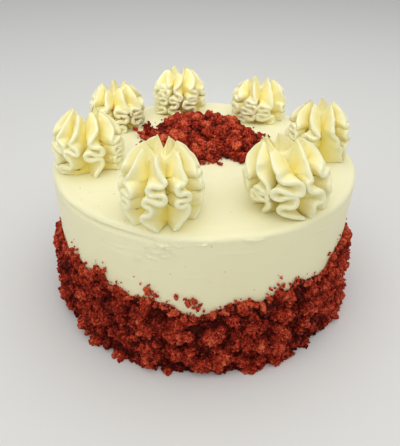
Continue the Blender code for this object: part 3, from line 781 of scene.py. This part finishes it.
band = {
    "gap": 0.3,  # clear of the icing
    "footRadius": 109.0,
    "outermost": 111.4,
    "topThickness": 4.6,
    "lip": (0.8, 3.0),  # thickness of the very edge, and how far down it reaches
    "columns": 860,
    "rows": 100,
    # azimuth and height of the top
    "edge": ((-180, 46), (-172, 48), (-165, 51), (-158, 55), (-149, 50.5), (-139, 55.5), (-133, 51),
             (-130.5, 51.5), (-127.5, 61), (-125, 58), (-122.5, 51), (-120, 53), (-114, 49.5), (-109, 51.5),
             (-101, 49.5), (-97.5, 45.5), (-94, 43.5), (-91, 42.5), (-89, 44), (-83.5, 48), (-80.5, 51),
             (-74.6, 53), (-71, 49), (-67, 52.5), (-64, 53.5), (-60, 51), (-57, 58), (-53, 53), (-48, 52),
             (-42, 50), (-37, 57.5), (-32, 60), (-24, 61), (-17, 56), (-10, 51), (0, 48), (30, 54), (60, 50),
             (85, 56), (110, 51), (135, 56), (155, 52)),
    "ragged": 1.3,
    "unrolledAt": 104.0,  # radius at which the relief is laid out flat
    "reliefTop": 72.0,
    "lumps": {"count": 1250, "radius": (2.2, 5.8), "depth": 5.7},
    "grains": {"count": 9500, "radius": (0.8, 2.0), "depth": 1.5},
    "hollow": 4.9,  # how far the gaps between the lumps lie below the band's even surface
    "tone": 0.054,
    "kinds": crumbKinds(("count", "size", "faces", "edge", "sink", "spread", "tone"),
                        ("clumps", 900, (1.4, 2.7), 80, 80, 0.1, 1.1, -0.04),
                        ("crumbs", 2050, (0.9, 1.7), 80, 320, 0.25, 1.1, 0.02),
                        ("bits", 5200, (0.45, 1.0), 20, 1300, 0.35, 2.2, 0.05),
                        ("grit", 4200, (0.3, 0.6), 20, 500, 0.5, 2.8, 0.07)),
    "clusters": 16.0,  # the more, the shorter the groups of crumbs along the edge
    # crumbs that stick to the icing above the band: azimuth, height, spread and number
    "strays": ((-108.0, 58.0, 1.6, 13), (-104.8, 56.2, 0.9, 4), (-98.2, 57.8, 0.9, 5), (-95.3, 55.5, 0.8, 3),
               (-92.4, 54.5, 1.8, 14), (-91.4, 50.5, 1.0, 6), (-110.0, 62.0, 0.3, 1), (-134.0, 58.0, 0.4, 1),
               (-63.0, 58.0, 0.8, 3), (-40.0, 63.0, 0.9, 4)),
    "straySize": (0.6, 1.5),
}

heap = {
    "centre": (-1.0, 19.5),
    "height": 11.5,
    "edgeHeight": 0.8,
    "columns": 420,
    "rows": 130,
    # azimuth and reach of the spill
    "outline": ((-172, 38), (-150, 34), (-99, 34), (-67, 30), (-49, 40), (-27, 36), (0, 40), (20, 35),
                (67, 35), (87, 32), (105, 37), (141, 35)),
    "ragged": 4.0,
    "reliefReach": 46.0,
    "lumps": {"count": 270, "radius": (2.0, 4.8), "depth": 6.4},
    "grains": {"count": 2600, "radius": (0.8, 1.9), "depth": 1.4},
    "hollow": 3.0,  # how far the gaps between the lumps lie below the heap's even surface
    "tone": -0.22,
    "kinds": crumbKinds(("count", "size", "faces", "sink", "rim", "tone"),
                        ("clumps", 130, (1.7, 3.4), 80, 0.3, 44, -0.16),
                        ("crumbs", 760, (0.9, 1.9), 80, 0.3, 130, -0.14),
                        ("bits", 2400, (0.4, 1.0), 20, 0.4, 420, -0.12),
                        ("grit", 2400, (0.28, 0.6), 20, 0.5, 300, -0.1)),
    "rimSpread": 2.4,  # how far crumbs have rolled out of the heap
    # crumbs that lie apart on the icing: sideways, backwards, spread and number
    "strays": ((-44.0, 25.9, 2.2, 14), (-50.5, 33.0, 0.8, 3), (-45.8, 5.4, 0.9, 4), (-39.5, 14.0, 2.0, 12),
               (0.5, -18.2, 0.9, 4), (5.7, -16.5, 1.0, 5), (10.9, -19.1, 0.6, 3), (40.0, 24.9, 1.8, 9),
               (20.0, 58.0, 1.4, 4), (-20.0, 57.0, 1.6, 8), (-12.0, 57.5, 2.0, 12), (8.0, 52.5, 1.8, 9),
               (47.0, 8.0, 0.8, 2)),
    "straySize": (0.5, 1.7),
    "pile": 6,  # groups of more strays than this are heaped a little
    # crumbs that fell on the dollops: node, azimuth from its front, height on it and size
    "specks": (("dollop_back_left", -6.0, 16.0, 0.9), ("dollop_back_left", 17.0, 12.8, 0.65),
               ("dollop_back_left", 41.0, 13.8, 0.5), ("dollop_back", -2.0, 6.6, 0.9),
               ("dollop_back", 6.0, 4.2, 0.6), ("dollop_right", -60.0, 9.0, 0.5),
               ("dollop_back_right", 150.0, 12.0, 0.6)),
}


def easedTable(table, azimuth):  # a value at each azimuth, in degrees, from a closed table
    azimuth = (np.asarray(azimuth) + 180.0) % 360.0 - 180.0
    angles = np.array([place for place, value in table] + [table[0][0] + 360.0], dtype=float)
    values = np.array([value for place, value in table] + [table[0][1]], dtype=float)
    part = np.clip(np.searchsorted(angles, azimuth, side="right") - 1, 0, len(table) - 1)
    share = np.clip((azimuth - angles[part]) / (angles[part + 1] - angles[part]), 0.0, 1.0)
    return values[part] + (values[part + 1] - values[part]) * share * share * (3.0 - 2.0 * share)


def ballRelief(across, up, spots, wrap):  # height of overlapping half balls over a map that closes on itself
    relief = np.zeros_like(up)
    step = abs(across[0, 1] - across[0, 0])
    for place, level, radius, lift in spots:
        middle, reach = int(place / step), int(radius / step) + 2
        columns = np.arange(middle - reach, middle + reach + 1) % across.shape[1]
        aside = np.abs(across[:, columns] - place)
        aside = np.minimum(aside, wrap - aside)
        square = radius ** 2 - aside ** 2 - (up[:, columns] - level) ** 2
        height = np.where(square > 0.0, np.sqrt(np.maximum(square, 0.0)) / radius * lift, 0.0)
        relief[:, columns] = np.maximum(relief[:, columns], height)
    return relief


def scatterSpots(draw, settings, width, height):  # random centres, radii and heights of the half balls
    spots = []
    for number in range(settings["count"]):
        radius = draw.uniform(*settings["radius"])
        lift = settings["depth"] * draw.uniform(0.35, 1.0) * radius / settings["radius"][1]
        spots.append((draw.uniform(0.0, width), draw.uniform(-3.0, height), radius, lift + 0.2))
    return spots


def crumbShape(faces):  # the ball that each crumb is roughened from
    deselectAll()
    bpy.ops.mesh.primitive_ico_sphere_add(subdivisions=1 if faces == 20 else 2, radius=1.0)
    shape = bpy.context.object
    points = readPoints(shape)
    corners = np.array([list(face.vertices) for face in shape.data.polygons])
    bpy.data.objects.remove(shape)
    return points, corners


def spinMatrices(draw, count):
    turns = draw.normal(size=(count, 4))
    turns /= np.linalg.norm(turns, axis=1, keepdims=True)
    w, x, y, z = turns.T
    return np.stack([
        np.stack([1 - 2 * (y * y + z * z), 2 * (x * y - z * w), 2 * (x * z + y * w)], axis=-1),
        np.stack([2 * (x * y + z * w), 1 - 2 * (x * x + z * z), 2 * (y * z - x * w)], axis=-1),
        np.stack([2 * (x * z - y * w), 2 * (y * z + x * w), 1 - 2 * (x * x + y * y)], axis=-1)], axis=1)


def looseCrumbs(name, settings, places, sizes, tonesAndShade, seed, replaced, floor=0.3):  # one mesh for a kind
    draw = np.random.default_rng(seed)
    shape, corners = crumbShape(settings["faces"])
    count = len(places)
    squash = draw.uniform(0.62, 1.3, size=(count, 1, 3))
    lumpy = 1.0 + draw.uniform(-0.4, 0.4, size=(count, len(shape), 1))
    local = shape[None] * lumpy * squash
    points = np.einsum("cij,cvj->cvi", spinMatrices(draw, count), local) * sizes[:, None, None]
    points = points + places[:, None, :]
    points[:, :, 2] = np.maximum(points[:, :, 2], floor)
    faces = corners[None] + (np.arange(count) * len(shape))[:, None, None]
    mesh = bpy.data.meshes.new(name)
    mesh.vertices.add(count * len(shape))
    mesh.vertices.foreach_set("co", (points * mm).ravel())
    mesh.loops.add(faces.size)
    mesh.loops.foreach_set("vertex_index", faces.ravel())
    mesh.polygons.add(count * len(corners))
    mesh.polygons.foreach_set("loop_start", np.arange(0, faces.size, 3))
    mesh.update(calc_edges=True)
    piece = addObject(name, mesh)
    # each crumb's tone and painted light, with a random shift of its own
    writeAttribute(piece, "tone", np.repeat(tonesAndShade + draw.uniform(-0.12, 0.12, size=count), len(shape)))
    bpy.context.view_layer.update()
    finishPiece(piece, crumb, replaced)


def drawSizes(draw, limits, count):  # more small ones than large ones
    return limits[0] + (limits[1] - limits[0]) * draw.random(count) ** 1.6


def scatterOn(surface, normals, relief, settings, draw, weight):  # places, sizes and tones on a surface
    flat, facing = surface.reshape(-1, 3), normals.reshape(-1, 3)
    chance = weight.ravel()
    chosen = draw.choice(len(flat), size=settings["count"], p=chance / chance.sum())
    sizes = drawSizes(draw, settings["size"], settings["count"])
    # painted light: crumbs that lie higher are brighter, added to each kind's own tone
    tonesAndShade = 0.07 * relief.ravel()[chosen] + settings["tone"]
    return flat[chosen] + facing[chosen] * (sizes * settings["sink"])[:, None], sizes, tonesAndShade


def gridNormals(surface):
    along = np.gradient(surface, axis=0)
    around = (np.roll(surface, -1, axis=1) - np.roll(surface, 1, axis=1)) / 2
    return unit(np.cross(around, along))


def finishCore(piece, points, tonesAndShade, node):  # the rough core that the loose crumbs lie on
    writePoints(piece, points * mm)
    writeAttribute(piece, "tone", tonesAndShade)
    closeSeams(piece, 0.005 * mm)
    bpy.ops.object.shade_smooth()
    finishPiece(piece, crumb, [node])


def edgeCrumbs(size, settings, draw):  # crumbs stuck to the icing along the ragged top of the band
    count = settings["edge"]
    sizes = drawSizes(draw, settings["size"], count)
    angle = draw.uniform(0.0, math.tau, count)
    clusters = smoothNoise(onCircle(angle) * size["clusters"], 8)
    spread = draw.exponential(settings["spread"], count) * (0.6 + clusters.clip(0.0, 1.0) * 2.5)
    level = easedTable(size["edge"], np.degrees(angle)) + spread - 1.8
    away = cake["radius"] + size["gap"] + sizes * 0.75
    return np.stack([away * np.cos(angle), away * np.sin(angle), level], axis=1), sizes


def bandStrays(size, draw):  # small groups of crumbs stuck to the icing above the band
    places = []
    for azimuth, level, spread, count in size["strays"]:
        for number in range(count):
            turn = math.radians(azimuth) + draw.normal() * spread / cake["radius"]
            places.append((math.cos(turn), math.sin(turn), level + draw.normal() * spread * 0.8))
    places = np.array(places)
    sizes = drawSizes(draw, size["straySize"], len(places))
    places[:, :2] *= (cake["radius"] + size["gap"] + sizes * 0.6)[:, None]
    return places, sizes


def makeBand(size):
    scatter, draw = random.Random(21), np.random.default_rng(22)
    rows, columns = size["rows"], size["columns"]
    circle = math.tau * size["unrolledAt"]
    angle = np.arange(columns) / columns * math.tau
    ring = onCircle(angle)
    ragged = smoothNoise(ring * 14.0, 3) + 0.7 * smoothNoise(ring * 40.0, 4)
    top = easedTable(size["edge"], np.degrees(angle)) + size["ragged"] * ragged
    share = np.linspace(0.0, 1.0, rows)[:, None]
    height = share * top[None]
    inner = cake["radius"] + size["gap"]
    slim, (lip, lipReach) = inner + size["topThickness"], size["lip"]
    radius = slim + (size["footRadius"] - slim) * (1 - share) ** 0.7
    radius = inner + lip + (radius - inner - lip) * (1.0 - np.exp((height - top[None]) / lipReach))
    across = np.repeat((angle / math.tau * circle)[None], rows, axis=0)
    relief = -size["hollow"]
    for layer in ("lumps", "grains"):
        spots = scatterSpots(scatter, size[layer], circle, size["reliefTop"])
        relief = relief + ballRelief(across, height, spots, circle)
    edgeFade = np.clip((1.0 - share) * 14.0, 0.0, 1.0) ** 0.5
    radius = np.maximum(radius + relief * (0.35 + 0.65 * edgeFade), inner + 0.4)
    surface = np.stack([radius * np.cos(angle), radius * np.sin(angle), height], axis=2)
    piece, column, row = rolledGrid("crumbBandCore", columns, rows + 1)
    inside = np.clip(row - 1, 0, rows - 1)
    points = surface[inside, column]
    for closing, level in ((row == 0, 0), (row == rows + 1, 1)):
        hidden = points[closing]
        hidden[:, :2] *= (inner / np.linalg.norm(hidden[:, :2], axis=1))[:, None]
        hidden[:, 2] += 0.6 * level
        points[closing] = hidden
    # painted shade in the gaps between the lumps and painted light on their tops
    finishCore(piece, points, relief[inside, column] * shadePerMillimetre + size["tone"], "crumb_band")
    normals = gridNormals(surface)
    high = np.exp(relief * 0.3)
    for kind, settings in size["kinds"].items():
        places, sizes, tonesAndShade = scatterOn(surface, normals, relief, settings, draw, high)
        rim, rimSizes = edgeCrumbs(size, settings, draw)
        places, sizes = np.concatenate([places, rim]), np.concatenate([sizes, rimSizes])
        tonesAndShade = np.concatenate([tonesAndShade, np.full(len(rim), 0.05)])
        away = np.linalg.norm(places[:, :2], axis=1)
        limit = size["outermost"] - sizes * 0.9
        places[:, :2] *= np.minimum(1.0, limit / away)[:, None]
        looseCrumbs("bandCrumb" + kind.capitalize(), settings, places, sizes, tonesAndShade, 31, ["crumb_band"])
    places, sizes = bandStrays(size, draw)
    tonesAndShade = np.full(len(places), 0.06)
    looseCrumbs("bandCrumbStrays", size["kinds"]["crumbs"], places, sizes, tonesAndShade, 32, ["crumb_band"])


makeBand(band)
print("the crumb band is made")


def makeHeap(size):
    scatter, draw = random.Random(41), np.random.default_rng(42)
    rows, columns = size["rows"], size["columns"]
    angle = np.arange(columns) / columns * math.tau
    ring = onCircle(angle)
    ragged = smoothNoise(ring * 4.0, 5) + 0.6 * smoothNoise(ring * 12.0, 6)
    reach = easedTable(size["outline"], np.degrees(angle)) + size["ragged"] * ragged
    share = np.linspace(0.0, 1.0, rows + 1)[1:, None]
    x = share * (reach * np.cos(angle))[None]
    y = share * (reach * np.sin(angle))[None]
    level = size["edgeHeight"] + (size["height"] - size["edgeHeight"]) * (1.0 - share ** 2.0)
    relief = np.full_like(x, -size["hollow"])
    for layer in ("lumps", "grains"):
        best = np.zeros_like(x)
        for radius, lift in [spot[2:] for spot in scatterSpots(scatter, size[layer], 1.0, 1.0)]:
            turn, away = scatter.uniform(0.0, math.tau), size["reliefReach"] * math.sqrt(scatter.random())
            square = radius ** 2 - (x - away * math.cos(turn)) ** 2 - (y - away * math.sin(turn)) ** 2
            best = np.maximum(best, np.sqrt(np.maximum(square, 0.0)) / radius * lift)
        relief += best
    z = np.maximum(level + relief * np.clip((1.0 - share) * 12.0, 0.5, 1.0), 0.3)
    surface = np.stack([x + size["centre"][0], y + size["centre"][1], z + icingTop], axis=2)
    piece, column, row = rolledGrid("crumbHeapCore", columns, rows + 2)
    inside = np.clip(row - 1, 0, rows - 1)
    points = surface[inside, column]
    points[row == 0] = surface[0].mean(axis=0)
    points[row == rows + 1, 2] = icingTop
    points[row == rows + 2] = (*size["centre"], icingTop)
    # painted shade in the gaps between the lumps and painted light on their tops
    finishCore(piece, points, relief[inside, column] * shadePerMillimetre + size["tone"], "crumb_heap")
    normals = -gridNormals(surface)
    normals[normals[:, :, 2] < 0.0] *= -1.0
    area = share * np.ones((1, columns))
    for kind, settings in size["kinds"].items():
        places, sizes, tonesAndShade = scatterOn(surface, normals, relief, settings, draw, area)
        rim, rimSizes = heapRim(size, settings, draw, reach)
        places, sizes = np.concatenate([places, rim]), np.concatenate([sizes, rimSizes])
        tonesAndShade = np.concatenate([tonesAndShade, np.full(len(rim), settings["tone"])])
        looseCrumbs("heapCrumb" + kind.capitalize(), settings, places, sizes, tonesAndShade, 43, ["crumb_heap"],
                    icingTop)
    for name, (places, sizes), tone, seed, replaced in (
            ("heapCrumbStrays", heapStrays(size, draw), 0.0, 44, ["crumb_heap"]),
            ("dollopCrumbSpecks", dollopSpecks(size), 0.35, 45, [])):
        tonesAndShade = np.full(len(places), tone)
        looseCrumbs(name, size["kinds"]["crumbs"], places, sizes, tonesAndShade, seed, replaced, icingTop)


def heapRim(size, settings, draw, reach):  # crumbs that have rolled a little way out of the heap
    sizes = drawSizes(draw, settings["size"], settings["rim"])
    column = draw.integers(0, len(reach), settings["rim"])
    turn = column / len(reach) * math.tau
    away = reach[column] - 1.0 + draw.exponential(size["rimSpread"], settings["rim"])
    return np.stack([size["centre"][0] + away * np.cos(turn), size["centre"][1] + away * np.sin(turn),
                     icingTop + sizes * 0.6], axis=1), sizes


def heapStrays(size, draw):  # crumbs that lie apart on the icing
    places = []
    for x, y, spread, count in size["strays"]:
        for number in range(count):
            lift = abs(draw.normal()) * spread * 0.5 if count > size["pile"] else 0.0
            places.append((x + draw.normal() * spread, y + draw.normal() * spread, icingTop + lift))
    places = np.array(places)
    sizes = drawSizes(draw, size["straySize"], len(places))
    places[:, 2] += sizes * 0.6
    return places, sizes


def dollopSpecks(size):  # crumbs that fell on the dollops, each on the first surface met from outside
    places, sizes = [], []
    for node, azimuth, level, radius in size["specks"]:
        spec = dollops[node]
        turn = math.radians(azimuth - 90.0)
        inwards = Vector((-math.cos(turn), -math.sin(turn), 0.0))
        start = Vector((spec["x"], spec["y"], cake["height"] + level)) - inwards * 2.0 * spec["radius"]
        found, spot, normal, face = pipedDollops[node].ray_cast(start * mm, inwards)
        if found:
            places.append(spot / mm + normal * radius * 0.4)
            sizes.append(radius)
    return np.array(places), np.array(sizes)


makeHeap(heap)
print("the crumb heap is made")
